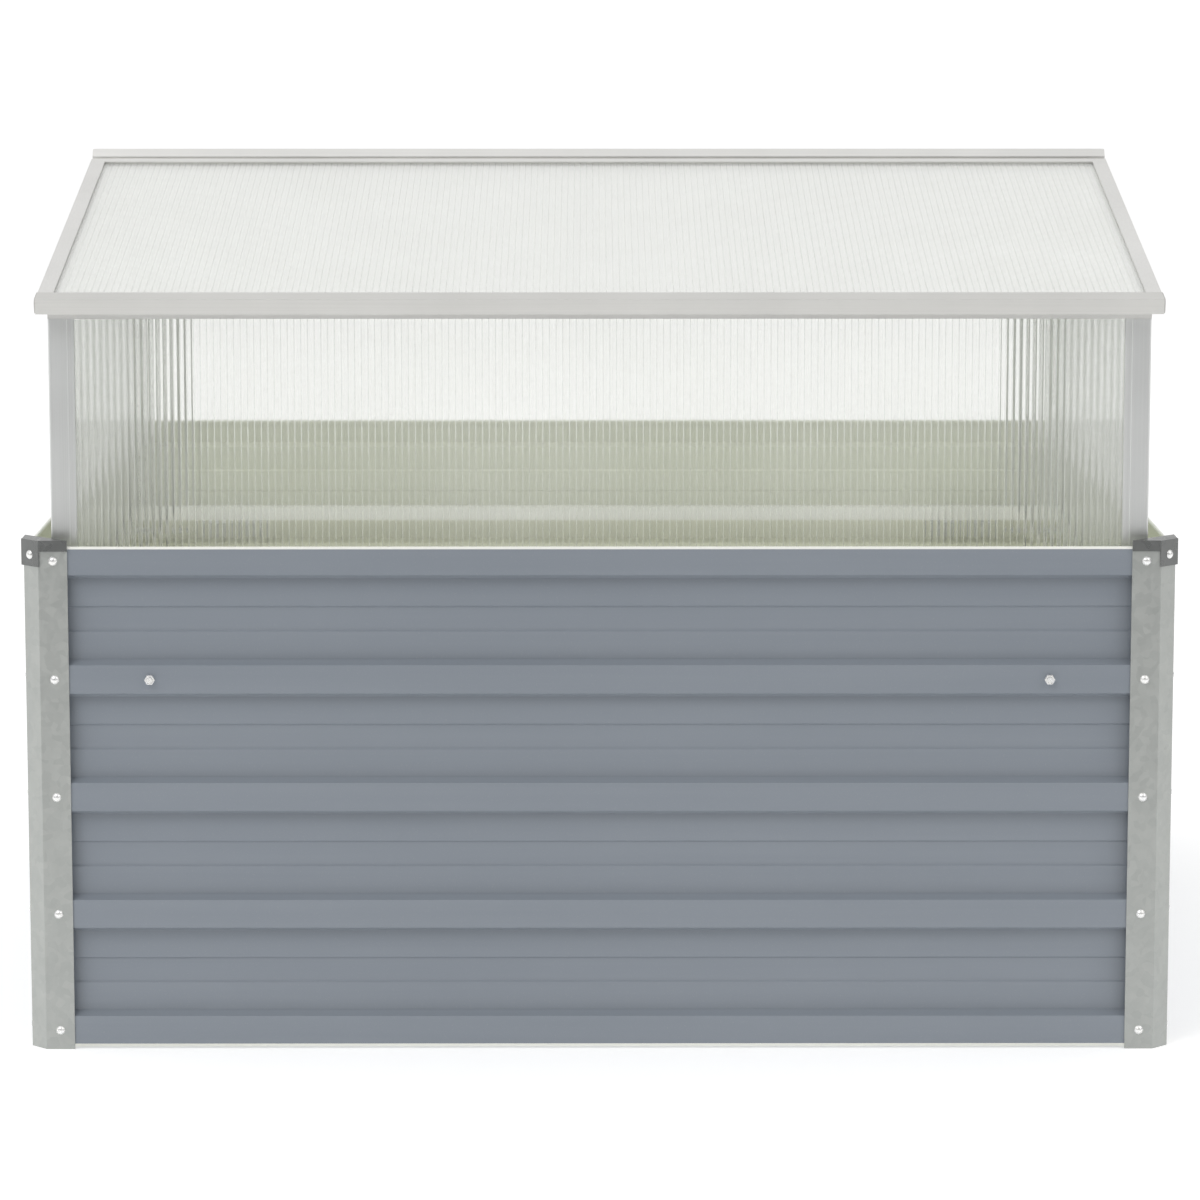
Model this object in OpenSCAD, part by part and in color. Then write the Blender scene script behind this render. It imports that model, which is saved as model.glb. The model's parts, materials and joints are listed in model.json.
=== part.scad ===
// Raised bed of corrugated steel with a gabled, twin-lidded cold frame standing in it.
// Width runs along X, the front faces -Y, and the corner posts stand on Z = 0.

/* [Raised bed] */
// Width and depth of the square bed over its corner posts
bed_w = 1000; // [900:10:1200]
// Height of the corner posts
post_h = 449.5; // [449.5:0.5:460]
// Length of each flange of a corner post
post_flange = 25; // [22:1:30]
// Cut of the chamfer at each corner, along X and along Y
post_chamfer = 14; // [12:1:16]
// Thickness of the corner post sheet
post_t = 1.5; // [1:0.1:2]
// Thickness of the wall panel sheet
panel_t = 0.8; // [0.5:0.1:1]
// Depth of the corrugation from ridge to valley
rib_depth = 9; // [6:0.5:10]
// Height of the flat on each ridge
ridge_flat = 24.8; // [20:0.1:28]
// Distance from one ridge to the next
ridge_pitch = 104; // [100:1:104]
// Gap below the wall panels
panel_lift = 4.5; // [2:0.5:4.5]

/* [Cold frame] */
// Width and depth of the cold frame over its posts
gh_w = 954; // [950:1:956]
// Height of the hinge axes above the ground
hinge_z = 750; // [740:1:760]
// Slope of the roof in degrees
pitch = 11; // [10:0.5:12]
// Thickness of the twin-wall glazing sheets
glaze_t = 4; // [3:0.5:4]

/* [Lids] */
// Half width of a lid frame
lid_half_w = 484.4; // [483:0.1:486]
// Thickness of a lid frame
lid_t = 13.5; // [12:0.5:14]
// Distance from the hinge axis to the free edge of a lid
lid_len = 505; // [500:1:510]
// Width of a lid side rail
side_rail_w = 13.7; // [12:0.1:16]
// Opening angle of a lid on its stay
lid_open = 50; // [40:1:50]

/* [Hidden] */
$fn = 48;
// Overlap of joined solids, and how far a cut runs past the face it opens in
EPS = 0.01;
PAST = 1;
// Play of a small screw or a seat, and depth of a hole drilled through sheet
play = 0.1;
drill = 3;
WALLS = ["front", "right", "back", "left"];
CORNERS = ["front_left", "front_right", "back_right", "back_left"];
LIDS = ["front", "back"];
LID_PIECES = ["fascia_rail", "hinge_rail", "left_rail", "right_rail", "glazing",
              "end_caps", "screws", "stay_bracket", "stay_rivet", "stay"];

// Raised bed
half = bed_w / 2;
panel_face = half - post_t;
panel_inset = 16;
panel_half = half - panel_inset;
rib_slope = 4;
groove_depth = 1.5;
groove_h = 20;
valley_flat = (ridge_pitch - ridge_flat - 2 * rib_slope - 2 * groove_depth - groove_h) / 2;
ridge_count = 5;
hem_r = 1.5;
hem_leg = 3;
rim_z = panel_lift + (ridge_count - 1) * ridge_pitch + ridge_flat;
foot_flange = 8;
bolt_at = half - post_chamfer - post_flange / 2;
bolt_row_z = panel_lift + ridge_flat / 2;

// Corner caps
cap_t = 1.5;
cap_lip = 8;
cap_tab_h = 23;
cap_tab_half = 11.5;
cap_bolt_z = post_h - 11.5;
chamfer_mid = half - post_chamfer / 2;

// M5 bolts and nuts
bolt_r = 2.5;
hole_r = 2.7;
head_r = 4;
head_h = 2.4;
dome_r = (head_r * head_r + head_h * head_h) / (2 * head_h);
nut_af = 8;
nut_h = 4;
nut_bore_r = 2.55;
bolt_len = 8;
sup_bolt_len = 8.5;

// Support brackets, two on each wall
sup_at = 391;
sup_w = 30;
sup_t = 2;
sup_ridge = ridge_count - 2;
sup_top = panel_lift + sup_ridge * ridge_pitch + ridge_flat - panel_t;
sup_leg = 22;
sup_reach = 450;
sup_bolt_z = bolt_row_z + sup_ridge * ridge_pitch;
sup_face = panel_face - panel_t;

// Cold frame profiles
gh_half = gh_w / 2;
rail_d = 10;
sill_h = 15;
slot_w = glaze_t + 2 * play;
slot_depth = 5;
glaze_mid = 4;
leg_len = 22.5;
leg_t = 8;
leg_slot = 8;
leg_bevel = 1.2;
lip_at = 16.2;
lip_step = 0.6;
lip_bevel = 2;
port_r = 2;
port_at = 11;
glaze_gap = 0.5;
glaze_half = gh_half - leg_len + leg_slot - glaze_gap;

// Roof lines: lid coordinates are u, down the slope from the hinge, and v, square to it
hinge_y = 8;
lid_gap = 0.5;
rise = tan(pitch);
under_drop = (lid_t / 2 + lid_gap) / cos(pitch);
gable_h = 12;
gable_slot = 5;
eave_z = rail_top(gh_half);
eave_h = 10.4;
post_top = eave_z - eave_h;
function rail_top(y) = hinge_z - under_drop - (y - hinge_y) * rise;

// Ridge beam
bead_r = 3;
cup_r = 3.15;
cup_outer = 5;
cup_low = 32.5;
cup_high = lid_open + 10.5;
web_half = 3.2;
ridge_cap_half = 10.5;
ridge_cap_h = 8;
ridge_skirt = 1.5;
ridge_flat_half = 5;
ridge_void_half = 4.2;
ridge_wall = 1.6;
ridge_top = hinge_z + 12;
web_low = hinge_z - 22;
ridge_half = lid_half_w + 0.6;
cup_mouth = 3 * cup_outer;

// Apex brackets: a plate across two gable rails and a tongue along the ridge web
plate_half = 40;
plate_h = 9;
plate_drop = 1;
tongue_len = 34;
tongue_h = 12;
tongue_screws = [14, 28];
web_screw_z = web_low + 7;
bracket_screw_at = [16, 32];
bracket_screw_drop = 3;

// Frame screws
screw_r = 1.9;
screw_head_r = 3.5;
pan_h = 1.2;
pan_top = 0.8;
pan_taper = 0.7;
small_screw_r = 1.4;
small_head_r = 2.5;
screw_x = gh_half - rail_d / 2;
sill_screw_z = sup_top + sill_h / 3;
sill_screw_len = 20;
eave_screw_z = eave_z - 2.9;
eave_screw_len = 19;
post_screw_len = 30;
post_screw_top = 24;
sink = 2;
bracket_screw_len = 8;
tongue_screw_len = 10;
side_port_len = 12;

// Lids
neck_half = 1;
hinge_u = 14;
hinge_w = 12;
fascia_w = 22;
fascia_u = lid_len - fascia_w;
rail_u = hinge_u + hinge_w;
side_x = lid_half_w - side_rail_w;
lid_slot = 4;
lid_glaze_v = 3.4;
wall = 1.6;
end_cap_t = 1;
end_cap_r = 4;
end_plug = 3;
plug_gap = 0.15;
lid_screw_r = 1.75;
lid_head_r = 3;
lid_head_gap = 0.3;
lid_screw_x = lid_half_w - 6.5;
lid_screw_grip = 18;
lid_head_rest = lid_slot + wall;

// Stays and their pegs
stay_t = 2.5;
stay_w = 12;
stay_x = 452;
pivot_u = 440;
pivot_v = -9;
pivot_r = 2;
tab_x = stay_x + stay_t + 0.5;
tab_t = 2;
tab_w = 14;
tab_r = 7;
arm_t = 1.7;
arm_drop = 0.4;
foot_w = 30;
foot_h = 4.1;
foot_t = 1.5;
foot_lift = 0.25;
foot_screw_u = 11;
foot_screw_v = -4.5;
foot_screw_r = 1;
foot_screw_len = 5;
foot_head_r = 1.7;
foot_head_t = 1.1;
rivet_head_r = 3.8;
rivet_head_t = 1.5;
rivet_gap = 0.3;
notch_play = 0.9;
nose_len = 12;
nose_low = 2;
nose_w = 8;
peg_r = 2.5;
peg_shank_r = 2;
peg_shank = 6;
peg_collar = 1.5;
peg_y = 456;
peg_z = rail_top(peg_y) - 3.5;
open_pitch = lid_open - pitch;
pivot_open = [-hinge_y - pivot_u * cos(open_pitch) + pivot_v * sin(open_pitch),
              hinge_z + pivot_u * sin(open_pitch) + pivot_v * cos(open_pitch)];
stay_len = norm(pivot_open - [-peg_y, peg_z]);

// Mitred offset of an open path, used to give a folded sheet its thickness
function unit(v) = v / norm(v);
function left(v) = [-v[1], v[0]];
function along(p, i) = unit(p[i + 1] - p[i]);
function mitre(n1, n2) = (n1 + n2) / (1 + n1 * n2);
function normal(p, i) =
    i == 0 ? left(along(p, 0))
    : i == len(p) - 1 ? left(along(p, i - 1))
    : mitre(left(along(p, i - 1)), left(along(p, i)));
function folded(p, t) = concat(p, [for (i = [len(p) - 1 : -1 : 0]) p[i] + t * normal(p, i)]);

// Extrude a profile drawn in Y and Z along X
module along_x(len) rotate([90, 0, 90]) linear_extrude(len, center = true) children();

// A round bar along +Y from y0 to y1
module bar_y(r, y0, y1) translate([0, y0, 0]) rotate([-90, 0, 0]) cylinder(h = y1 - y0, r = r);

// A round bar along +X from x0 to x1
module bar_x(r, x0, x1) translate([x0, 0, 0]) rotate([0, 90, 0]) cylinder(h = x1 - x0, r = r);

// Turn the front wall, or the front left corner, to wall or corner k
module turned(k) rotate([0, 0, 90 * k]) children();

// Put lid pieces drawn at y = -u, z = v in place, on the front or the back slope
module on_lid(k)
    rotate([0, 0, 180 * k]) translate([0, -hinge_y, hinge_z]) rotate([pitch, 0, 0]) children();

// Raised bed ---------------------------------------------------------------

// One ridge of the wall, the valley above it and the groove in that valley
function rib(z) = [
    [0, z], [0, z + ridge_flat],
    [rib_depth, z + ridge_flat + rib_slope],
    [rib_depth, z + ridge_flat + rib_slope + valley_flat],
    [rib_depth + groove_depth, z + ridge_flat + rib_slope + valley_flat + groove_depth],
    [rib_depth + groove_depth, z + ridge_flat + rib_slope + valley_flat + groove_depth + groove_h],
    [rib_depth, z + ridge_flat + rib_slope + valley_flat + 2 * groove_depth + groove_h],
    [rib_depth, z + ridge_pitch - rib_slope]
];
panel_path = concat(
    [[foot_flange, panel_lift]],
    [for (k = [0 : ridge_count - 2], p = rib(panel_lift + k * ridge_pitch)) p],
    [[0, rim_z - ridge_flat]],
    [for (a = [0 : 30 : 180]) [hem_r - hem_r * cos(a), rim_z - hem_r + hem_r * sin(a)]],
    [[2 * hem_r, rim_z - hem_r - hem_leg]]
);

module panel(k) {
    color("slategray") turned(k) difference() {
        translate([0, -panel_face, 0]) along_x(2 * panel_half) polygon(folded(panel_path, -panel_t));
        for (s = [-1, 1]) {
            for (z = bolt_rows()) translate([s * bolt_at, 0, z]) bar_y(hole_r, -half, -panel_face + drill);
            translate([s * sup_at, 0, sup_bolt_z]) bar_y(hole_r, -half, -panel_face + drill);
        }
    }
}

function bolt_rows() = [for (k = [0 : ridge_count - 1]) bolt_row_z + k * ridge_pitch];

// Outline of a corner post, at the front left corner
function post_path(out) = [
    [-half + post_chamfer + post_flange, -half - out],
    [-half + post_chamfer - out * tan(22.5), -half - out],
    [-half - out, -half + post_chamfer - out * tan(22.5)],
    [-half - out, -half + post_chamfer + post_flange]
];

module bed_post(k) {
    color("darkgray") turned(k) difference() {
        linear_extrude(post_h) polygon(folded(post_path(0), -post_t));
        for (z = bolt_rows()) {
            translate([-bolt_at, 0, z]) bar_y(hole_r, -half - PAST, -half + drill);
            translate([0, -bolt_at, z]) bar_x(hole_r, -half - PAST, -half + drill);
        }
        cap_bolt_place() bar_y(hole_r, -drill, drill);
    }
}

// The middle of the chamfer at the front left corner, with -Y pointing outwards
module cap_bolt_place()
    translate([-chamfer_mid, -chamfer_mid, cap_bolt_z]) rotate([0, 0, -45]) children();

module corner_cap(k) {
    color("dimgray") turned(k) difference() {
        union() {
            translate([0, 0, post_h]) linear_extrude(cap_t) polygon(post_path(cap_t));
            translate([0, 0, post_h - cap_lip]) linear_extrude(cap_lip + EPS) {
                polygon(folded([post_path(cap_t)[0], post_path(cap_t)[1]], -cap_t));
                polygon(folded([post_path(cap_t)[2], post_path(cap_t)[3]], -cap_t));
            }
            translate([-chamfer_mid, -chamfer_mid, post_h + cap_t - cap_tab_h]) rotate([0, 0, -45])
                translate([-cap_tab_half, -cap_t, 0]) cube([2 * cap_tab_half, cap_t, cap_tab_h]);
        }
        cap_bolt_place() bar_y(hole_r, -drill, drill);
    }
}

// A domed bolt whose head rests on y = 0, pointing along +Y
module bolt(len) {
    intersection() {
        translate([0, dome_r - head_h, 0]) sphere(dome_r);
        bar_y(dome_r, -head_h, 0);
    }
    bar_y(bolt_r, -EPS, len);
}

// A hex nut that rests on y = 0, on its +Y side
module nut() rotate([-90, 0, 0]) difference() {
    cylinder(h = nut_h, d = nut_af / cos(30), $fn = 6);
    translate([0, 0, -PAST]) cylinder(h = nut_h + 2 * PAST, r = nut_bore_r);
}

module bed_bolts() {
    color("gainsboro") for (k = [0 : 3]) turned(k) {
        for (s = [-1, 1], z = bolt_rows())
            translate([s * bolt_at, -half, z]) bolt(bolt_len);
        for (s = [-1, 1])
            translate([s * sup_at, -sup_face + sup_t, sup_bolt_z]) mirror([0, 1, 0]) bolt(sup_bolt_len);
        cap_bolt_place() translate([0, -cap_t, 0]) bolt(bolt_len);
    }
}

module bed_nuts() {
    color("silver") for (k = [0 : 3]) turned(k) {
        for (s = [-1, 1], z = bolt_rows())
            translate([s * bolt_at, -sup_face, z]) nut();
        for (s = [-1, 1])
            translate([s * sup_at, -panel_face, sup_bolt_z]) mirror([0, 1, 0]) nut();
        cap_bolt_place() translate([0, post_t, 0]) nut();
    }
}

module support_brackets(k) {
    color("darkgray") turned(k) for (s = [-1, 1]) translate([s * sup_at, 0, 0]) difference() {
        along_x(sup_w) polygon(folded(
            [[-sup_face, sup_top - sup_leg], [-sup_face, sup_top], [-sup_reach, sup_top]], -sup_t));
        translate([0, 0, sup_bolt_z]) bar_y(hole_r, -half, -half + bolt_len);
    }
}

// Cold frame ---------------------------------------------------------------

// Glazing slot in Y and Z: the sheet's middle is at -glaze_mid from the outer face
module slot(depth, z) translate([-gh_half + glaze_mid - slot_w / 2, z]) square([slot_w, depth]);

function is_front(k) = k % 2 == 0;

module sill_rail(k) {
    len = is_front(k) ? 2 * gh_half : 2 * (gh_half - rail_d);
    color("gainsboro") turned(k) difference() {
        along_x(len) difference() {
            translate([-gh_half, sup_top]) square([rail_d, sill_h]);
            slot(slot_depth + EPS, sup_top + sill_h - slot_depth);
        }
        if (is_front(k)) for (s = [-1, 1]) {
            frame_post_screw_hole(s);
            translate([s * screw_x, 0, sill_screw_z]) rail_hole(screw_r);
        }
        else for (s = [-1, 1])
            translate([0, 0, sill_screw_z]) side_port(s);
    }
}

// Hole through a front rail for a screw of radius r
module rail_hole(r) bar_y(r + play, -gh_half - PAST, -gh_half + rail_d + PAST);

// Screw hole into the end of a side rail, drawn on the front wall's place
module side_port(s) mirror([s < 0 ? 1 : 0, 0, 0]) translate([0, -screw_x, 0])
    bar_x(port_r, gh_half - rail_d - side_port_len, gh_half - rail_d + PAST);

module frame_post_screw_hole(s) translate([s * (gh_half - port_at), -gh_half + glaze_mid, 0])
    cylinder(h = hinge_z, r = port_r);

// Half of a frame post's outline: the face steps back to a lip whose edge is bevelled
leg_outline = [
    [leg_bevel, 0], [lip_at, 0], [lip_at + lip_step, lip_step],
    [leg_len - lip_bevel, lip_step], [leg_len, lip_step + lip_bevel / 2],
    [leg_len, leg_t - leg_bevel], [leg_len - leg_bevel, leg_t], [leg_t, leg_t]];
leg_mirrored = [for (i = [len(leg_outline) - 2 : -1 : 0]) [leg_outline[i][1], leg_outline[i][0]]];

module frame_post(k) {
    low = sup_top + sill_h;
    color("silver") turned(k) translate([-gh_half, -gh_half, low]) difference() {
        linear_extrude(post_top - low) difference() {
            polygon(concat(leg_outline, leg_mirrored));
            translate([leg_len - leg_slot, glaze_mid - slot_w / 2]) square([leg_slot + EPS, slot_w]);
            translate([glaze_mid - slot_w / 2, leg_len - leg_slot]) square([slot_w, leg_slot + EPS]);
        }
        translate(k % 2 == 0 ? [port_at, glaze_mid, -PAST] : [glaze_mid, port_at, -PAST])
            cylinder(h = post_top - low + 2 * PAST, r = port_r);
    }
}

module eave_rail(k) {
    color("gainsboro") turned(k) difference() {
        along_x(2 * gh_half) difference() {
            translate([-gh_half, post_top]) square([rail_d, eave_h]);
            slot(slot_depth, post_top - EPS);
        }
        for (s = [-1, 1]) {
            frame_post_screw_hole(s);
            translate([s * (gh_half - port_at), -gh_half + glaze_mid, eave_z - sink])
                cylinder(h = sink + EPS, r1 = port_r, r2 = port_r + sink);
            translate([s * screw_x, 0, eave_screw_z]) rail_hole(small_screw_r);
        }
    }
}

// Corners 0 and 3 stand on the left gable, 1 and 2 on the right one
module gable_rail(k) {
    top = [[-gh_half + rail_d, rail_top(gh_half - rail_d)], [0, rail_top(0)]];
    drop = gable_h / cos(pitch);
    slot_rise = gable_slot / cos(pitch);
    inner = -gh_half + rail_d;
    color("gainsboro") mirror([k == 1 || k == 2 ? 1 : 0, 0, 0]) mirror([0, k > 1 ? 1 : 0, 0]) difference() {
        translate([-gh_half + rail_d / 2, 0, 0]) along_x(rail_d)
            polygon([top[0], top[1], top[1] - [0, drop], top[0] - [0, drop]]);
        translate([-gh_half + glaze_mid, 0, 0]) along_x(slot_w)
            polygon([top[0] - PAST * [1, 1] - [0, drop], top[1] - PAST * [-1, 1] - [0, drop],
                     top[1] + PAST * [1, rise] - [0, drop - slot_rise],
                     top[0] - PAST * [1, rise] - [0, drop - slot_rise]]);
        translate([-screw_x, 0, eave_screw_z])
            bar_y(small_screw_r + play, -gh_half, -gh_half + eave_screw_len + 2 * PAST);
        translate([0, -peg_y, peg_z]) bar_x(peg_shank_r + play, inner - peg_shank - 2 * PAST, inner + PAST);
        for (p = bracket_screws()) translate([0, -p[0], p[1]])
            bar_x(small_screw_r + play, inner - bracket_screw_len + sup_t - PAST, inner + PAST);
    }
}

module wall_glazing(k) {
    low = sup_top + sill_h - slot_depth + glaze_gap;
    high = post_top + slot_depth - glaze_gap;
    color("whitesmoke", 0.5) turned(k) translate([0, -gh_half + glaze_mid, 0])
        rotate([90, 0, 0]) linear_extrude(glaze_t, center = true)
            if (is_front(k)) translate([-glaze_half, low]) square([2 * glaze_half, high - low]);
            else polygon([[-glaze_half, low], [glaze_half, low],
                          [glaze_half, glaze_top(glaze_half)], [0, glaze_top(0)],
                          [-glaze_half, glaze_top(glaze_half)]]);
}

function glaze_top(y) = rail_top(y) - (gable_h - gable_slot) / cos(pitch) - 2 * glaze_gap;

// Hollow box along the top of the ridge beam, with sloping shoulders
module ridge_box() difference() {
    low = ridge_top - ridge_cap_h;
    polygon([[-ridge_cap_half, low], [ridge_cap_half, low],
             [ridge_cap_half, low + ridge_skirt], [ridge_flat_half, ridge_top],
             [-ridge_flat_half, ridge_top], [-ridge_cap_half, low + ridge_skirt]]);
    translate([-ridge_void_half, hinge_z + cup_outer + ridge_wall])
        square([2 * ridge_void_half, ridge_top - hinge_z - cup_outer - 2 * ridge_wall]);
}

// Ridge beam: a web with a hinge cup on each side under a hollow box
module ridge_beam() {
    color("gainsboro") difference() {
        union() {
            for (s = [-1, 1]) translate([0, s * hinge_y, hinge_z]) difference() {
                bar_x(cup_outer, -ridge_half, ridge_half);
                bar_x(cup_r, -ridge_half - PAST, ridge_half + PAST);
                along_x(2 * ridge_half + 2 * PAST) polygon([
                    [0, 0], cup_mouth * [s * cos(cup_low), -sin(cup_low)],
                    cup_mouth * [s, 0], cup_mouth * [s * cos(cup_high), sin(cup_high)]]);
            }
            along_x(2 * ridge_half) {
                translate([-web_half, rail_top(0) + play])
                    square([2 * web_half, ridge_top - ridge_cap_h - rail_top(0)]);
                ridge_box();
            }
            along_x(2 * (gh_half - rail_d - sup_t - 2 * play))
                translate([-web_half, web_low]) square([2 * web_half, rail_top(0) + PAST - web_low]);
        }
        for (s = [-1, 1], x = tongue_screws) translate([s * (gh_half - rail_d - x), 0, web_screw_z])
            bar_y(small_screw_r + play, -web_half - PAST, web_half + PAST);
    }
}

function plate_top(y) = rail_top(y) - plate_drop;
function bracket_screws() = [for (y = bracket_screw_at) [y, plate_top(y) - bracket_screw_drop]];

module ridge_brackets() {
    x0 = gh_half - rail_d;
    tip = 2 * web_half;
    end = plate_top(plate_half);
    color("darkgray") for (k = [0, 1]) rotate([0, 0, 180 * k]) difference() {
        union() {
            translate([x0 - sup_t / 2, 0, 0]) along_x(sup_t)
                polygon([[-plate_half, end], [0, plate_top(0)], [plate_half, end],
                         [plate_half, end - plate_h], [tip, web_low],
                         [-tip, web_low], [-plate_half, end - plate_h]]);
            translate([x0 - tongue_len, web_half, web_low]) cube([tongue_len, sup_t, tongue_h]);
        }
        for (x = tongue_screws) translate([x0 - x, 0, web_screw_z])
            bar_y(small_screw_r + play, 0, web_half + sup_t + PAST);
        for (s = [-1, 1], p = bracket_screws()) translate([0, s * p[0], p[1]])
            bar_x(small_screw_r + play, x0 - sup_t - PAST, x0 + PAST);
    }
}

// A small pan-head screw whose head rests on y = 0, pointing along +Y
module pan_screw(r, len, head = small_head_r) {
    bar_y(r, -EPS, len);
    bar_y(head, -pan_h, 0);
    translate([0, -pan_h + EPS, 0]) rotate([90, 0, 0])
        cylinder(h = pan_top, r1 = head, r2 = head * pan_taper);
}

module frame_screws() {
    x0 = gh_half - rail_d;
    color("gainsboro") {
        for (k = [0, 1], s = [-1, 1]) rotate([0, 0, 180 * k]) {
            translate([s * (gh_half - port_at), -gh_half + glaze_mid, 0]) {
                translate([0, 0, sup_top]) rotate([90, 0, 0])
                    pan_screw(screw_r, post_screw_len, screw_head_r);
                translate([0, 0, eave_z - post_screw_top]) cylinder(h = post_screw_top, r = screw_r);
                translate([0, 0, eave_z - sink + play])
                    cylinder(h = sink - play, r1 = screw_r, r2 = screw_r + sink - play);
            }
            translate([s * screw_x, -gh_half, sill_screw_z])
                pan_screw(screw_r, sill_screw_len, screw_head_r);
            translate([s * screw_x, -gh_half, eave_screw_z]) pan_screw(small_screw_r, eave_screw_len);
        }
        for (k = [0, 1]) rotate([0, 0, 180 * k]) {
            for (s = [-1, 1], p = bracket_screws()) translate([x0 - sup_t, s * p[0], p[1]])
                rotate([0, 0, -90]) pan_screw(small_screw_r, bracket_screw_len);
            for (x = tongue_screws) translate([x0 - x, web_half + sup_t, web_screw_z])
                rotate([0, 0, 180]) pan_screw(small_screw_r, tongue_screw_len);
        }
    }
}

module stay_pegs() {
    x0 = gh_half - rail_d;
    color("silver") for (k = [0, 1]) rotate([0, 0, 180 * k]) translate([0, -peg_y, peg_z]) {
        bar_x(peg_shank_r, -x0 - peg_shank, -x0);
        bar_x(peg_r + peg_collar, -x0, -x0 + peg_collar);
        bar_x(peg_r, -x0 + peg_collar - EPS, -stay_x + peg_collar);
        bar_x(peg_r + peg_collar, -stay_x + peg_collar - EPS, -stay_x + 2 * peg_collar);
    }
}

// Lids -----------------------------------------------------------------------

// A rail of the lid frame in Y = -u and Z = v, with its glazing slot from slot_u0 to slot_u1
module lid_rail_profile(u0, u1, slot_u0, slot_u1) difference() {
    translate([-u1, -lid_t / 2]) square([u1 - u0, lid_t]);
    translate([-slot_u1, lid_glaze_v - slot_w / 2]) square([slot_u1 - slot_u0, slot_w]);
}

// Hollow of the fascia rail, which its end caps plug
module fascia_hollow(clear) translate([-lid_len + wall + clear, -lid_t / 2 + wall + clear])
    square([fascia_w - lid_slot - 2 * wall - 2 * clear, lid_t - 2 * wall - 2 * clear]);

module lid_fascia_rail(k) {
    color("gainsboro") on_lid(k) difference() {
        along_x(2 * lid_half_w) difference() {
            lid_rail_profile(fascia_u, lid_len, fascia_u - EPS, fascia_u + lid_slot);
            fascia_hollow(0);
        }
        lid_screw_places() translate([0, -fascia_u, 0])
            bar_y(lid_screw_r + play, -lid_head_rest - PAST, PAST);
    }
}

module lid_hinge_rail(k) {
    color("gainsboro") on_lid(k) difference() {
        union() {
            along_x(2 * lid_half_w) lid_rail_profile(hinge_u, rail_u, rail_u - lid_slot, rail_u + EPS);
            bar_x(bead_r, -lid_half_w, lid_half_w);
            along_x(2 * lid_half_w) translate([-hinge_u - EPS, -neck_half])
                square([hinge_u - bead_r / 2, 2 * neck_half]);
        }
        lid_screw_places() {
            bar_y(lid_screw_r + play, -rail_u - PAST, -hinge_u + PAST);
            bar_y(lid_head_r + lid_head_gap, -hinge_u, -hinge_u + pan_h + pan_top + glaze_gap);
        }
    }
}

// Line of the screws that enter each side rail from its two ends
module lid_screw_places() for (s = [-1, 1]) translate([s * lid_screw_x, 0, 0]) children();

module lid_side_rail(k, s) {
    color("gainsboro") on_lid(k) difference() {
        translate([s * (side_x + side_rail_w / 2), -(rail_u + fascia_u) / 2, 0])
            cube([side_rail_w, fascia_u - rail_u, lid_t], center = true);
        translate([s * (side_x + lid_slot / 2 - EPS), -(rail_u + fascia_u) / 2, lid_glaze_v])
            cube([lid_slot + EPS, fascia_u, slot_w], center = true);
        translate([s * lid_screw_x, 0, 0]) {
            bar_y(lid_screw_r + play, -fascia_u - PAST, -fascia_u + lid_screw_grip + 2 * PAST);
            bar_y(lid_screw_r + play, -rail_u - lid_screw_grip - 2 * PAST, -rail_u + PAST);
        }
        if (s < 0) stay_bracket_screw_places()
            bar_x(foot_screw_r + play, -side_x - foot_screw_len - PAST, -side_x + PAST);
    }
}

module lid_glazing(k) {
    edge = lid_slot - glaze_gap;
    color("whitesmoke", 0.5) on_lid(k)
        translate([-side_x - edge, -fascia_u - edge, lid_glaze_v - glaze_t / 2])
            cube([2 * (side_x + edge), fascia_u - rail_u + 2 * edge, glaze_t]);
}

module lid_end_caps(k) {
    color("lightgray") on_lid(k) for (s = [-1, 1]) {
        translate([s * (lid_half_w + end_cap_t / 2), 0, 0]) along_x(end_cap_t) end_cap_outline();
        translate([s * (lid_half_w - end_plug / 2), 0, 0]) along_x(end_plug) fascia_hollow(plug_gap);
    }
}

// Plate over the end of the fascia rail, with its outer corners rounded
module end_cap_outline() {
    translate([-lid_len + end_cap_r, -lid_t / 2]) square([fascia_w - end_cap_r, lid_t]);
    translate([-lid_len, -lid_t / 2 + end_cap_r]) square([end_cap_r + EPS, lid_t - 2 * end_cap_r]);
    for (s = [-1, 1]) translate([-lid_len + end_cap_r, s * (lid_t / 2 - end_cap_r)]) circle(end_cap_r);
}

module lid_screws(k) {
    color("silver") on_lid(k) {
        lid_screw_places() {
            translate([0, -hinge_u, 0]) rotate([0, 0, 180])
                pan_screw(lid_screw_r, hinge_w + lid_screw_grip, lid_head_r);
            translate([0, -fascia_u - lid_head_rest, 0])
                pan_screw(lid_screw_r, lid_head_rest + lid_screw_grip, lid_head_r);
        }
        stay_bracket_screw_places() {
            bar_x(foot_screw_r, -side_x - foot_screw_len, -side_x + foot_t + EPS);
            bar_x(foot_head_r, -side_x + foot_t, -side_x + foot_t + foot_head_t);
        }
    }
}

module stay_bracket_screw_places()
    for (s = [-1, 1]) translate([0, -pivot_u + s * foot_screw_u, foot_screw_v]) children();

module lid_stay_bracket(k) {
    arm_v = -glaze_t / 2 - arm_drop;
    color("darkgray") on_lid(k) difference() {
        union() {
            translate([-side_x, -pivot_u - foot_w / 2, -lid_t / 2 + foot_lift])
                cube([foot_t, foot_w, foot_h]);
            translate([-side_x, -pivot_u - tab_w / 2, arm_v - arm_t]) cube([side_x - tab_x, tab_w, arm_t]);
            translate([-tab_x - tab_t, -pivot_u - tab_w / 2, pivot_v]) cube([tab_t, tab_w, arm_v - pivot_v]);
            translate([0, -pivot_u, pivot_v]) bar_x(tab_r, -tab_x - tab_t, -tab_x);
        }
        translate([0, -pivot_u, pivot_v]) bar_x(pivot_r + play / 2, -tab_x - tab_t - PAST, -tab_x + PAST);
        stay_bracket_screw_places() bar_x(foot_screw_r + play, -side_x - PAST, -side_x + 2 * PAST);
    }
}

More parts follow.
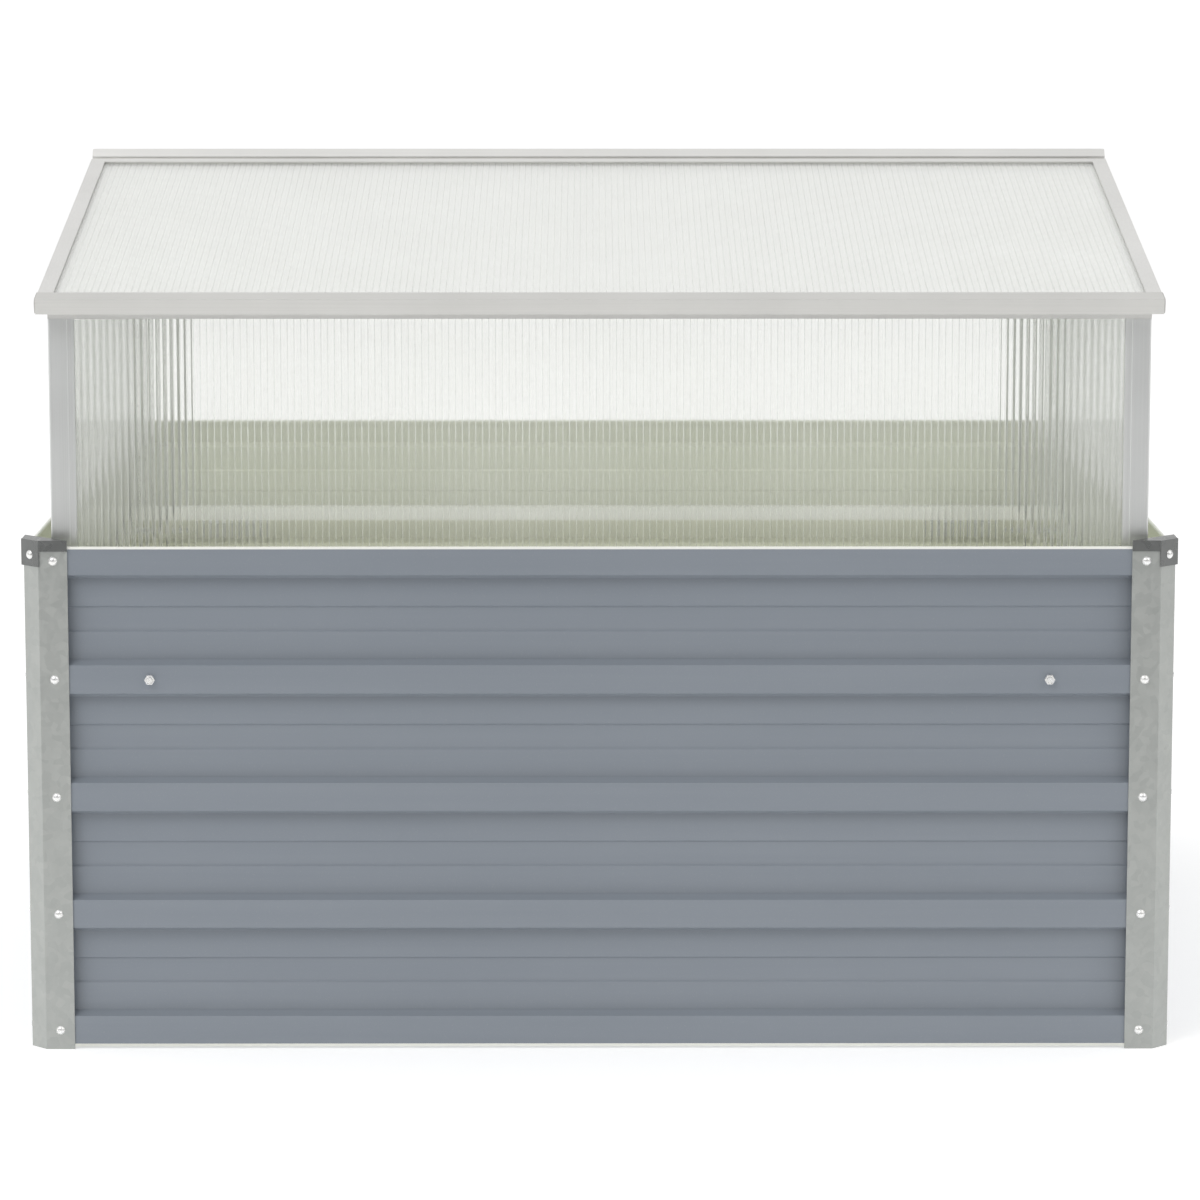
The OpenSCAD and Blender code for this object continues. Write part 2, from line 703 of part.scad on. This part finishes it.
module lid_stay_rivet(k) {
    color("silver") on_lid(k) translate([0, -pivot_u, pivot_v]) {
        bar_x(pivot_r, -tab_x - tab_t - EPS, -stay_x + rivet_gap + EPS);
        bar_x(rivet_head_r, -tab_x - tab_t - rivet_head_t, -tab_x - tab_t);
        bar_x(rivet_head_r, -stay_x + rivet_gap, -stay_x + rivet_gap + rivet_head_t);
    }
}

// The stay lies up the slope from its pivot, and its notch opens on the side that swings forward
module lid_stay(k) {
    notch_w = 2 * peg_r + notch_play;
    color("darkgray") on_lid(k) translate([0, -pivot_u, pivot_v]) difference() {
        union() {
            translate([-stay_x - stay_t, 0, -stay_w / 2]) cube([stay_t, stay_len, stay_w]);
            bar_x(stay_w / 2, -stay_x - stay_t, -stay_x);
            translate([0, stay_len, 0]) bar_x(stay_w / 2, -stay_x - stay_t, -stay_x);
            translate([-stay_x - stay_t, stay_len, -nose_low]) cube([stay_t, nose_len, nose_w]);
        }
        bar_x(pivot_r + play, -stay_x - stay_t - PAST, -stay_x + PAST);
        translate([0, stay_len, 0]) bar_x(notch_w / 2, -stay_x - stay_t - PAST, -stay_x + PAST);
        translate([-stay_x - stay_t - PAST, stay_len - notch_w / 2, -stay_w])
            cube([stay_t + 2 * PAST, notch_w, stay_w]);
    }
}

// Every piece, drawn only when its node is asked for ---------------------------
for (k = [0 : 3]) {
    panel(k);
    support_brackets(k);
    bed_post(k);
    corner_cap(k);
    sill_rail(k);
    frame_post(k);
    gable_rail(k);
    wall_glazing(k);
}
bed_bolts();
bed_nuts();
eave_rail(0);  // front_eave_rail
eave_rail(2);  // back_eave_rail
ridge_beam();
ridge_brackets();
frame_screws();
stay_pegs();
for (k = [0, 1]) {
    lid_fascia_rail(k);
    lid_hinge_rail(k);
    lid_side_rail(k, -1);
    lid_side_rail(k, 1);
    lid_glazing(k);
    lid_end_caps(k);
    lid_screws(k);
    lid_stay_bracket(k);
    lid_stay_rivet(k);
    lid_stay(k);
}
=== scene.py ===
"""Looks of the cold frame: finishes for the CAD nodes, fluted glazing, floor, light and camera."""

import json
import math

import bmesh
import bpy
from mathutils import Matrix, Vector


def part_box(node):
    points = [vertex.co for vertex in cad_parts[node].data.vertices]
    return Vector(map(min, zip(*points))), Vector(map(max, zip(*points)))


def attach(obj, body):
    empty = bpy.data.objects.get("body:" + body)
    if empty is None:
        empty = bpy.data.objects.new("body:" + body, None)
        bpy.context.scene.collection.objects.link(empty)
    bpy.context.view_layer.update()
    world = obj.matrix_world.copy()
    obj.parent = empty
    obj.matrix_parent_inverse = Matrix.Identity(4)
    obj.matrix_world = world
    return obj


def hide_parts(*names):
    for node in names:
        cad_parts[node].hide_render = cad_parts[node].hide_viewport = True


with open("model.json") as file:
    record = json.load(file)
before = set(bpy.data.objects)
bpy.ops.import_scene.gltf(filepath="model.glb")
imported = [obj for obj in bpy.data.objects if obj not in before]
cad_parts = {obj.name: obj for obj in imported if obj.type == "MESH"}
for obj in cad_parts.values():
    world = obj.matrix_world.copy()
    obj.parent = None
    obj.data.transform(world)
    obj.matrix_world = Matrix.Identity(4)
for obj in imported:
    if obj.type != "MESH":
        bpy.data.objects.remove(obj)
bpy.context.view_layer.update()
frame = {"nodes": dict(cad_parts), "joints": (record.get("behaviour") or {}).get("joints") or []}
nodes = frame["nodes"]

# Twin-wall sheet, in metres
FLUTE_PITCH = 0.0058
SKIN = 0.00035
RIB = 0.0007
BULGE = 0.00014
ROOF_BULGE = 0.00004
COLUMNS_PER_FLUTE = 8
SHARP = math.radians(30)

# Height of the pale band along the rim, in metres: a painted highlight standing in for light caught by
# the thin top edge
RIM_HIGHLIGHT_HEIGHT = 0.0022

# Bevels on folded and extruded metal, in metres: edges that turn by more than the angle get one
EDGE = 0.0004
FINE_EDGE = 0.0003
TINY_EDGE = 0.0002
BEVEL_ANGLE = math.radians(35)
WELD = 0.00001

# Height over which the panels' upward faces change from inner to outer coat, in metres
COAT_STEP = 0.001

# Coats of the wall panels
BLUE_DARK, BLUE_LIGHT = (0.225, 0.252, 0.288), (0.250, 0.277, 0.313)
CREAM_DARK, CREAM_LIGHT = (0.68, 0.685, 0.58), (0.74, 0.745, 0.63)
# Near-white colour of the band along the rim: a painted highlight, not a colour of either coat
RIM_HIGHLIGHT_PALE = (0.92, 0.92, 0.87)
DUST = (0.45, 0.45, 0.43)

# Index of refraction of the glazing's outer skin
SHEET_IOR = 1.42

# Studio floor: half its side, where its painted shade in front is full and where its painted light is
# full, in metres, and the strength of its glow, which is painted light
FLOOR_HALF = 80.0
FLOOR_FULL_PAINTED_SHADE, FLOOR_FULL_PAINTED_LIGHT = -1.8, -1.0
FLOOR_PAINTED_GLOW = 0.35

# Studio surroundings: brightness, brightness of the dim part, and strength of the flag on the right
WORLD_BRIGHT, WORLD_DIM = 1.05, 0.1
FLAG = 0.6

# Studio lamps: place and power in watts; all have the same size in metres and point at one place
KEY_AT, KEY_POWER = (-2.2, -3.2, 3.6), 60.0
FILL_AT, FILL_POWER = (2.8, -2.0, 2.4), 20.0
LAMP_SIZE = 2.5
LAMP_TARGET = (0.0, 0.0, 0.4)

# The viewpoint: place, downward tilt and turn in degrees, and focal length in frame widths
CAMERA_AT = Vector((-0.009, -4.534, 1.003))
CAMERA_TILT = 8.517
CAMERA_TURN = -0.13
FOCAL = 3.923
SENSOR = 36.0


# Materials --------------------------------------------------------------------

def add_node(tree, kind, values=None, **props):
    """A node in tree, with its properties set and each input given a value or a link."""
    node = tree.nodes.new(kind)
    for key, value in props.items():
        setattr(node, key, value)
    for key, value in (values or {}).items():
        if isinstance(value, bpy.types.NodeSocket):
            tree.links.new(value, node.inputs[key])
        else:
            node.inputs[key].default_value = value
    return node


class Graph:
    """A material and short ways to add nodes to it."""

    def __init__(self, name):
        self.mat = bpy.data.materials.new(name)
        self.mat.use_nodes = True
        self.tree = self.mat.node_tree
        self.tree.nodes.clear()
        self.place = self.add("ShaderNodeTexCoord").outputs["Object"]
        self.normal = self.add("ShaderNodeTexCoord").outputs["Normal"]

    def add(self, kind, values=None, **props):
        return add_node(self.tree, kind, values, **props)

    def math(self, operation, a, b=0.0, clamp=False):
        return self.add("ShaderNodeMath", {0: a, 1: b}, operation=operation, use_clamp=clamp).outputs[0]

    def dot(self, vector, direction):
        node = self.add("ShaderNodeVectorMath", {0: vector, 1: direction}, operation="DOT_PRODUCT")
        return node.outputs["Value"]

    def stretched(self, scale):
        """Object coordinates scaled per axis, for grain that runs one way."""
        values = {0: self.place, 1: scale}
        return self.add("ShaderNodeVectorMath", values, operation="MULTIPLY").outputs[0]

    def noise(self, scale, detail=3.0, roughness=0.5, vector=None):
        values = {"Vector": vector or self.place, "Scale": scale,
                  "Detail": detail, "Roughness": roughness}
        return self.add("ShaderNodeTexNoise", values).outputs[0]

    def ramp(self, value, low, high, out_low, out_high):
        values = {"Value": value, "From Min": low, "From Max": high,
                  "To Min": out_low, "To Max": out_high}
        return self.add("ShaderNodeMapRange", values).outputs[0]

    def mix(self, factor, a, b):
        """Blend of two colours, each an (r, g, b) or a socket."""
        node = self.add("ShaderNodeMix", data_type="RGBA")
        self.tree.links.new(factor, node.inputs[0])
        for socket, value in ((node.inputs[6], a), (node.inputs[7], b)):
            if isinstance(value, bpy.types.NodeSocket):
                self.tree.links.new(value, socket)
            else:
                socket.default_value = (*value, 1.0)
        return node.outputs[2]

    def bump(self, height, distance, strength=1.0):
        values = {"Height": height, "Distance": distance, "Strength": strength}
        return self.add("ShaderNodeBump", values).outputs[0]

    def principled(self, **values):
        names = {key.replace("_", " "): value for key, value in values.items()}
        return self.add("ShaderNodeBsdfPrincipled", names).outputs[0]

    def finish(self, shader):
        self.add("ShaderNodeOutputMaterial", {"Surface": shader})
        return self.mat


def paint(name, outwards):
    """Coil-coated sheet: grey-blue on the face turned outwards, pale backing coat on the other, and a
    pale band along the top edge as a painted highlight.
    """
    g = Graph(name)
    low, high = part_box("front_panel")
    middle = (low.z + high.z) / 2
    height = g.add("ShaderNodeSeparateXYZ", {0: g.place}).outputs[2]
    up = g.dot(g.normal, (0.0, 0.0, 1.0))
    upper = g.ramp(height, middle - COAT_STEP, middle + COAT_STEP, -1.0, 1.0)
    turned = g.math("MULTIPLY", g.dot(g.normal, outwards), 4.0)
    facing = g.math("ADD", turned, g.math("MULTIPLY", up, upper))
    below_rim_highlight = g.math("LESS_THAN", height, high.z - RIM_HIGHLIGHT_HEIGHT)
    outside = g.math("GREATER_THAN", facing, 0.0)
    along = (abs(outwards[1]), abs(outwards[0]), 0.0)
    streak_scale = tuple(1.5 if a else 60.0 for a in along)
    streaks = g.noise(1.0, 4.0, 0.6, g.stretched(streak_scale))
    cloud = g.noise(2.5, 3.0)
    tone = g.math("ADD", g.ramp(streaks, 0.3, 0.7, -0.5, 0.5), g.ramp(cloud, 0.3, 0.7, -0.5, 0.5))
    shade = g.ramp(tone, -1.0, 1.0, 0.0, 1.0)
    blue = g.mix(shade, BLUE_DARK, BLUE_LIGHT)
    cream = g.mix(shade, CREAM_DARK, CREAM_LIGHT)
    dust = g.ramp(g.noise(900.0, 2.0), 0.62, 0.8, 0.0, 0.18)
    # The top of each panel is painted near-white as a highlight along the rim
    coat_and_rim_highlight = g.mix(below_rim_highlight, RIM_HIGHLIGHT_PALE, g.mix(outside, cream, blue))
    colour = g.mix(dust, coat_and_rim_highlight, DUST)
    rough = g.ramp(g.noise(30.0, 4.0), 0.3, 0.7, 0.30, 0.38)
    dents = g.noise(3.0, 2.0, 0.4, g.stretched(tuple(1.0 if a else 4.0 for a in along)))
    peel = g.noise(1100.0, 2.0)
    wavy = g.math("ADD", dents, g.math("MULTIPLY", peel, 0.006))
    return g.finish(g.principled(Base_Color=colour, Roughness=rough, Normal=g.bump(wavy, 0.004, 0.6)))


def galvanised(name, dark, light, rough=0.45):
    """Hot-dip zinc with its spangle: crystals of slightly different tone and gloss."""
    g = Graph(name)
    warp = g.add("ShaderNodeTexNoise", {"Vector": g.place, "Scale": 60.0, "Detail": 2.0}).outputs[1]
    warped = g.add("ShaderNodeVectorMath", {0: warp, "Scale": 0.012}, operation="SCALE").outputs[0]
    moved = g.add("ShaderNodeVectorMath", {0: g.place, 1: warped}, operation="ADD").outputs[0]
    cells = g.add("ShaderNodeTexVoronoi", {"Vector": moved, "Scale": 150.0}, feature="F1")
    crystal = g.add("ShaderNodeSeparateXYZ", {0: cells.outputs["Color"]}).outputs[0]
    mottle = g.noise(45.0, 5.0, 0.65)
    tone = g.math("ADD", g.math("MULTIPLY", crystal, 0.45), g.math("MULTIPLY", mottle, 0.75))
    colour = g.mix(g.ramp(tone, 0.25, 0.95, 0.0, 1.0), dark, light)
    gloss = g.ramp(crystal, 0.0, 1.0, rough - 0.06, rough + 0.08)
    relief = g.bump(g.math("ADD", g.math("MULTIPLY", crystal, 0.3), g.noise(500.0, 3.0)), 0.0002, 0.35)
    return g.finish(g.principled(Base_Color=colour, Metallic=0.75, Roughness=gloss, Normal=relief))


def aluminium(name, axis, colour=(0.80, 0.795, 0.775), metallic=0.8):
    """Mill-finish extrusion with drawn lines along its axis."""
    g = Graph(name)
    scale = tuple(3.0 if k == axis else 900.0 for k in range(3))
    lines = g.noise(1.0, 5.0, 0.65, g.stretched(scale))
    cloud = g.noise(8.0, 3.0)
    shade = g.ramp(g.math("ADD", lines, cloud), 0.6, 1.4, 0.0, 1.0)
    low = tuple(c * 0.93 for c in colour)
    high = tuple(min(1.0, c * 1.06) for c in colour)
    rough = g.ramp(g.noise(20.0, 4.0), 0.3, 0.7, 0.34, 0.44)
    drawn = g.bump(lines, 0.0001, 0.25)
    tone = g.mix(shade, low, high)
    return g.finish(g.principled(Base_Color=tone, Metallic=metallic, Roughness=rough, Normal=drawn))


def zinc(name):
    """Bright zinc-plated fasteners with a faint rainbow of passivation."""
    g = Graph(name)
    patch = g.noise(260.0, 3.0)
    colour = g.mix(g.ramp(patch, 0.35, 0.65, 0.0, 1.0), (0.88, 0.885, 0.89), (0.93, 0.925, 0.90))
    rough = g.ramp(g.noise(900.0, 3.0), 0.3, 0.7, 0.20, 0.32)
    scuff = g.bump(g.noise(1500.0, 3.0), 0.0001, 0.3)
    return g.finish(g.principled(Base_Color=colour, Metallic=0.6, Roughness=rough, Normal=scuff))


def moulded(name, low, high):
    """Finely grained moulded plastic."""
    g = Graph(name)
    colour = g.mix(g.ramp(g.noise(400.0, 3.0), 0.3, 0.7, 0.0, 1.0), low, high)
    grain = g.bump(g.noise(2500.0, 2.0), 0.0001, 0.3)
    return g.finish(g.principled(Base_Color=colour, Roughness=0.5, Normal=grain))


def lets_light_in(g, shader):
    """Shadow and soft light pass the sheet as they pass real twin-wall sheet."""
    open_way = g.add("ShaderNodeBsdfTransparent", {"Color": (0.97, 0.975, 0.965, 1.0)}).outputs[0]
    path = g.add("ShaderNodeLightPath")
    soft = g.math("MAXIMUM", path.outputs["Is Shadow Ray"], path.outputs["Is Diffuse Ray"])
    return g.add("ShaderNodeMixShader", {0: soft, 1: shader, 2: open_way}).outputs[0]


def clear_sheet(name):
    """The outer skin of the glazing: clear polycarbonate that lets lamps and soft light through."""
    g = Graph(name)
    haze = g.ramp(g.noise(6.0, 4.0), 0.3, 0.7, 0.95, 1.0)
    glass = g.principled(
        Base_Color=(0.99, 0.992, 0.985, 1.0), Roughness=0.03, IOR=SHEET_IOR, Transmission_Weight=haze)
    return g.finish(lets_light_in(g, glass))


def hazy_sheet(name, alpha, low=(0.86, 0.87, 0.85), high=(0.93, 0.935, 0.92)):
    """Ribs and inner skin of the glazing, seen as a faint milky tone."""
    g = Graph(name)
    tone = g.mix(g.ramp(g.noise(10.0, 3.0), 0.3, 0.7, 0.0, 1.0), low, high)
    return g.finish(lets_light_in(g, g.principled(Base_Color=tone, Roughness=0.25, Alpha=alpha)))


def white_floor(name):
    """Studio floor: white under and behind the object, where it also glows as painted light, and darker
    well in front of it as painted shade.
    """
    g = Graph(name)
    depth = g.add("ShaderNodeSeparateXYZ", {0: g.place}).outputs[1]
    # Painted light and shade: behind the object the floor glows and is white, well in front of it the
    # floor is darker and does not glow
    painted_light = g.ramp(depth, FLOOR_FULL_PAINTED_SHADE, FLOOR_FULL_PAINTED_LIGHT, 0.0, 1.0)
    white = g.mix(g.noise(1.5, 2.0), (0.90, 0.90, 0.90), (0.92, 0.92, 0.92))
    colour = g.mix(painted_light, (0.84, 0.84, 0.84), white)
    painted_glow = g.math("MULTIPLY", painted_light, FLOOR_PAINTED_GLOW)
    return g.finish(g.principled(Base_Color=colour, Roughness=0.6, Emission_Color=(1.0, 1.0, 1.0, 1.0),
                                 Emission_Strength=painted_glow))


# Finishes on the CAD nodes -------------------------------------------------------

def dress(name, material, bevel=EDGE):
    """Give a CAD node its finish and soften its edges."""
    piece = nodes[name]
    piece.data.materials.clear()
    piece.data.materials.append(material)
    if bevel:
        weld = piece.modifiers.new("weld", "WELD")
        weld.merge_threshold = WELD
        edge = piece.modifiers.new("edge", "BEVEL")
        edge.width = bevel
        edge.segments = 2
        edge.limit_method = "ANGLE"
        edge.angle_limit = BEVEL_ANGLE
        edge.harden_normals = False
        edge.use_clamp_overlap = True
        piece.modifiers.new("normals", "WEIGHTED_NORMAL")


WALLS = {
    "front": (0.0, -1.0, 0.0),
    "right": (1.0, 0.0, 0.0),
    "back": (0.0, 1.0, 0.0),
    "left": (-1.0, 0.0, 0.0),
}
CORNERS = ("front_left", "front_right", "back_right", "back_left")

POST_ZINC = galvanised("galvanised_post", (0.41, 0.425, 0.41), (0.50, 0.515, 0.495))
CAP_ZINC = galvanised("dark_cap", (0.155, 0.16, 0.157), (0.20, 0.205, 0.202), 0.30)
BRACKET_ZINC = galvanised("bracket_zinc", (0.45, 0.46, 0.45), (0.6, 0.61, 0.6))
RAIL_X = aluminium("aluminium_x", 0)
RAIL_Y = aluminium("aluminium_y", 1)
RAIL_Z = aluminium("aluminium_z", 2, (0.745, 0.755, 0.745))
SILL_X = aluminium("aluminium_sill_x", 0, (0.88, 0.88, 0.86), 0.35)
# Darker copy of the rail aluminium for the lid fascias: painted shade standing in for their front faces
# turned to the dim side of the room
FASCIA_SHADED_ALUMINIUM = aluminium("aluminium_fascia_painted_shade", 0, (0.69, 0.685, 0.66))
BRIGHT = zinc("zinc_fastener")
END_CAP = moulded("end_cap", (0.50, 0.495, 0.475), (0.56, 0.555, 0.535))

for wall, outwards in WALLS.items():
    dress(wall + "_panel", paint("paint_" + wall, outwards), 0.0)
    dress(wall + "_support_brackets", BRACKET_ZINC, FINE_EDGE)
    dress(wall + "_sill_rail", SILL_X if outwards[1] else RAIL_Y)
for corner in CORNERS:
    dress(corner + "_bed_post", POST_ZINC, 0.0)
    dress(corner + "_corner_cap", CAP_ZINC, 0.0)
    dress(corner + "_frame_post", RAIL_Z, FINE_EDGE)
    dress(corner + "_gable_rail", RAIL_Y)
dress("front_eave_rail", RAIL_X, 0.0)
dress("back_eave_rail", RAIL_X, 0.0)
dress("ridge_beam", RAIL_X, FINE_EDGE)
dress("ridge_brackets", BRACKET_ZINC, FINE_EDGE)
for name in ("bed_bolts", "bed_nuts", "frame_screws", "stay_pegs"):
    dress(name, BRIGHT, TINY_EDGE)
for lid in ("front_lid_", "back_lid_"):
    dress(lid + "fascia_rail", FASCIA_SHADED_ALUMINIUM, 0.0006)
    dress(lid + "hinge_rail", RAIL_X, FINE_EDGE)
    dress(lid + "left_rail", RAIL_Y, 0.0005)
    dress(lid + "right_rail", RAIL_Y, 0.0005)
    dress(lid + "end_caps", END_CAP, FINE_EDGE)
    dress(lid + "screws", BRIGHT, TINY_EDGE)
    dress(lid + "stay_bracket", BRACKET_ZINC, FINE_EDGE)
    dress(lid + "stay_rivet", BRIGHT, TINY_EDGE)
    dress(lid + "stay", RAIL_Y, FINE_EDGE)


# Twin-wall glazing ---------------------------------------------------------------

CLEAR = clear_sheet("polycarbonate_skin")
HAZY = hazy_sheet("polycarbonate_inner", 0.05)
MILKY = hazy_sheet("polycarbonate_roof_inner", 0.88, (0.94, 0.94, 0.93), (0.98, 0.98, 0.975))
RIBBED = hazy_sheet("polycarbonate_rib", 0.27)
GABLE_INNER = hazy_sheet("polycarbonate_gable_inner", 0.02)
GABLE_RIBBED = hazy_sheet("polycarbonate_gable_rib", 0.05)


def strip(mesh, columns, top, c_front, c_back, slot):
    """A closed strip along a: its columns rise from low to top(a), and its front face may bulge."""
    rings = []
    for a, low in columns:
        high = top(a)
        front = c_front(a)
        rings.append([mesh.verts.new(p) for p in
                      ((a, low, front), (a, high, front), (a, high, c_back), (a, low, c_back))])
    for one, two in zip(rings, rings[1:]):
        for k in range(4):
            face = mesh.faces.new((one[k], two[k], two[(k + 1) % 4], one[(k + 1) % 4]))
            face.material_index = slot
            face.smooth = k == 0
    for ring in (rings[0], rings[-1]):
        mesh.faces.new(ring).material_index = slot


def twin_wall(name, node, half_width, low, top, thickness, place, body, bulge, inner, ribbed):
    """A fluted sheet for a CAD glazing node, drawn in (across, along the flutes, outwards)."""
    mesh = bmesh.new()
    flutes = round(2 * half_width / FLUTE_PITCH)
    pitch = 2 * half_width / flutes
    half_t = thickness / 2
    steps = flutes * COLUMNS_PER_FLUTE
    columns = [(-half_width + 2 * half_width * k / steps, low) for k in range(steps + 1)]

    def bulging(a):
        return half_t - bulge * (0.5 + 0.5 * math.cos(2 * math.pi * (a + half_width) / pitch))

    strip(mesh, columns, top, bulging, half_t - SKIN, 0)
    ends = [(-half_width, low), (0.0, low), (half_width, low)]
    strip(mesh, ends, top, lambda a: -half_t + SKIN, -half_t, 1)
    for k in range(flutes + 1):
        middle = min(max(-half_width + k * pitch, -half_width + RIB / 2), half_width - RIB / 2)
        rib = [(middle - RIB / 2, low), (middle + RIB / 2, low)]
        strip(mesh, rib, top, lambda a: half_t - SKIN, -half_t + SKIN, 2)
    bmesh.ops.recalc_face_normals(mesh, faces=mesh.faces)
    for edge in mesh.edges:
        edge.smooth = edge.calc_face_angle(0.0) < SHARP
    data = bpy.data.meshes.new(name)
    mesh.to_mesh(data)
    mesh.free()
    piece = bpy.data.objects.new(name, data)
    bpy.context.scene.collection.objects.link(piece)
    for material in (CLEAR, inner, ribbed):
        data.materials.append(material)
    data.transform(place)
    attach(piece, body)
    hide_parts(node)
    return piece


def axes(across, along, outwards, origin):
    """The matrix that takes (across, along, outwards) to the row frame."""
    place = Matrix.Identity(4)
    for column, vector in enumerate((across, along, outwards, origin)):
        for row in range(3):
            place[row][column] = vector[row]
    return place


def wall_glazing(wall, outwards):
    out = Vector(outwards)
    across = Vector((0.0, 0.0, 1.0)).cross(out)
    low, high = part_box(wall + "_glazing")
    centre = (low + high) / 2
    size = high - low
    half_width = abs(across.dot(size)) / 2
    thickness = abs(out.dot(size))
    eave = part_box("front_glazing")[1].z

    def top(a):
        return high.z if outwards[1] else eave + (high.z - eave) * (1 - abs(a) / half_width)

    origin = Vector((centre.x, centre.y, 0.0))
    place = axes(across, Vector((0.0, 0.0, 1.0)), out, origin)
    twin_wall(wall + "_twin_wall", wall + "_glazing", half_width, low.z, top, thickness, place, "bed",
              BULGE, *((HAZY, RIBBED) if outwards[1] else (GABLE_INNER, GABLE_RIBBED)))


def lid_glazing(lid, outwards):
    """A roof sheet: its flutes run down the slope of its lid."""
    joint = next(j for j in frame["joints"] if j["name"] == lid + "_lid_hinge")
    hinge = Vector(joint["pos_m"])
    corners = [Vector(v.co) for v in nodes[lid + "_lid_glazing"].data.vertices]
    out = Vector(outwards)
    far = max(corners, key=lambda p: p.dot(out) - p.z * 0.1)
    same_side = [p for p in corners if abs(p.x - far.x) < 1e-6]
    lowest = min(same_side, key=lambda p: p.z)
    beside = min((p for p in same_side if (p - lowest).length > 0.1), key=lambda p: (p - lowest).length)
    down = (lowest - beside).normalized()
    normal = Vector((1.0, 0.0, 0.0)).cross(down)
    normal = normal if normal.z > 0 else -normal
    across = (-down).cross(normal)
    offsets = [(p - hinge).dot(down) for p in corners]
    heights = [(p - hinge).dot(normal) for p in corners]
    half_width = max(p.x for p in corners)
    middle = (max(heights) + min(heights)) / 2
    place = axes(across, -down, normal, hinge + normal * middle)
    twin_wall(lid + "_lid_twin_wall", lid + "_lid_glazing", half_width, -max(offsets),
              lambda a: -min(offsets), max(heights) - min(heights), place, lid + "_lid",
              ROOF_BULGE, MILKY, RIBBED)


for wall, outwards in WALLS.items():
    wall_glazing(wall, outwards)
lid_glazing("front", WALLS["front"])
lid_glazing("back", WALLS["back"])


# Floor, light and camera --------------------------------------------------------------

def floor():
    mesh = bmesh.new()
    bmesh.ops.create_grid(mesh, x_segments=8, y_segments=8, size=FLOOR_HALF)
    data = bpy.data.meshes.new("floor")
    mesh.to_mesh(data)
    mesh.free()
    data.materials.append(white_floor("studio_floor"))
    piece = bpy.data.objects.new("floor", data)
    bpy.context.scene.collection.objects.link(piece)


def lamp(name, place, target, size, power):
    """A large soft area lamp that points at target."""
    data = bpy.data.lights.new(name, "AREA")
    data.shape = "SQUARE"
    data.size = size
    data.energy = power
    lamp_object = bpy.data.objects.new(name, data)
    lamp_object.location = place
    lamp_object.rotation_mode = "QUATERNION"
    lamp_object.rotation_quaternion = (Vector(target) - Vector(place)).to_track_quat("-Z", "Y")
    bpy.context.scene.collection.objects.link(lamp_object)


def studio():
    """White surroundings with a dimmer room on the viewer's side."""
    world = bpy.data.worlds.new("studio")
    bpy.context.scene.world = world
    world.use_nodes = True
    tree = world.node_tree
    tree.nodes.clear()

    def add(kind, values=None, **props):
        return add_node(tree, kind, values, **props)

    way = add("ShaderNodeTexCoord").outputs["Generated"]
    parts = add("ShaderNodeSeparateXYZ", {0: way})
    front = add("ShaderNodeMapRange", {"Value": parts.outputs[1], "From Min": -0.2, "From Max": -0.9})
    level = add("ShaderNodeMapRange", {"Value": parts.outputs[2], "From Min": 0.75, "From Max": 0.25})
    dim = add("ShaderNodeMath", {0: front.outputs[0], 1: level.outputs[0]}, operation="MULTIPLY")
    side = add("ShaderNodeMapRange", {"Value": parts.outputs[0], "From Min": 0.35, "From Max": 0.75})
    flag = add("ShaderNodeMath", {0: side.outputs[0], 1: level.outputs[0]}, operation="MULTIPLY")
    shade = add("ShaderNodeMath", {0: flag.outputs[0], 1: FLAG}, operation="MULTIPLY")
    both = add("ShaderNodeMath", {0: dim.outputs[0], 1: shade.outputs[0]}, operation="MAXIMUM")
    levels = {"Value": both.outputs[0], "To Min": WORLD_BRIGHT, "To Max": WORLD_DIM}
    strength = add("ShaderNodeMapRange", levels)
    back = add("ShaderNodeBackground", {"Strength": strength.outputs[0]})
    add("ShaderNodeOutputWorld", {"Surface": back.outputs[0]})


def camera():
    data = bpy.data.cameras.new("camera")
    data.sensor_width = SENSOR
    data.lens = FOCAL * SENSOR
    data.clip_end = 200.0
    view = bpy.data.objects.new("camera", data)
    view.location = CAMERA_AT
    view.rotation_euler = (math.radians(90 - CAMERA_TILT), 0.0, math.radians(CAMERA_TURN))
    bpy.context.scene.collection.objects.link(view)
    bpy.context.scene.camera = view


floor()
studio()
lamp("key", KEY_AT, LAMP_TARGET, LAMP_SIZE, KEY_POWER)
lamp("fill", FILL_AT, LAMP_TARGET, LAMP_SIZE, FILL_POWER)
camera()
bpy.context.scene.view_settings.view_transform = "Standard"
bpy.context.scene.cycles.transparent_max_bounces = 32
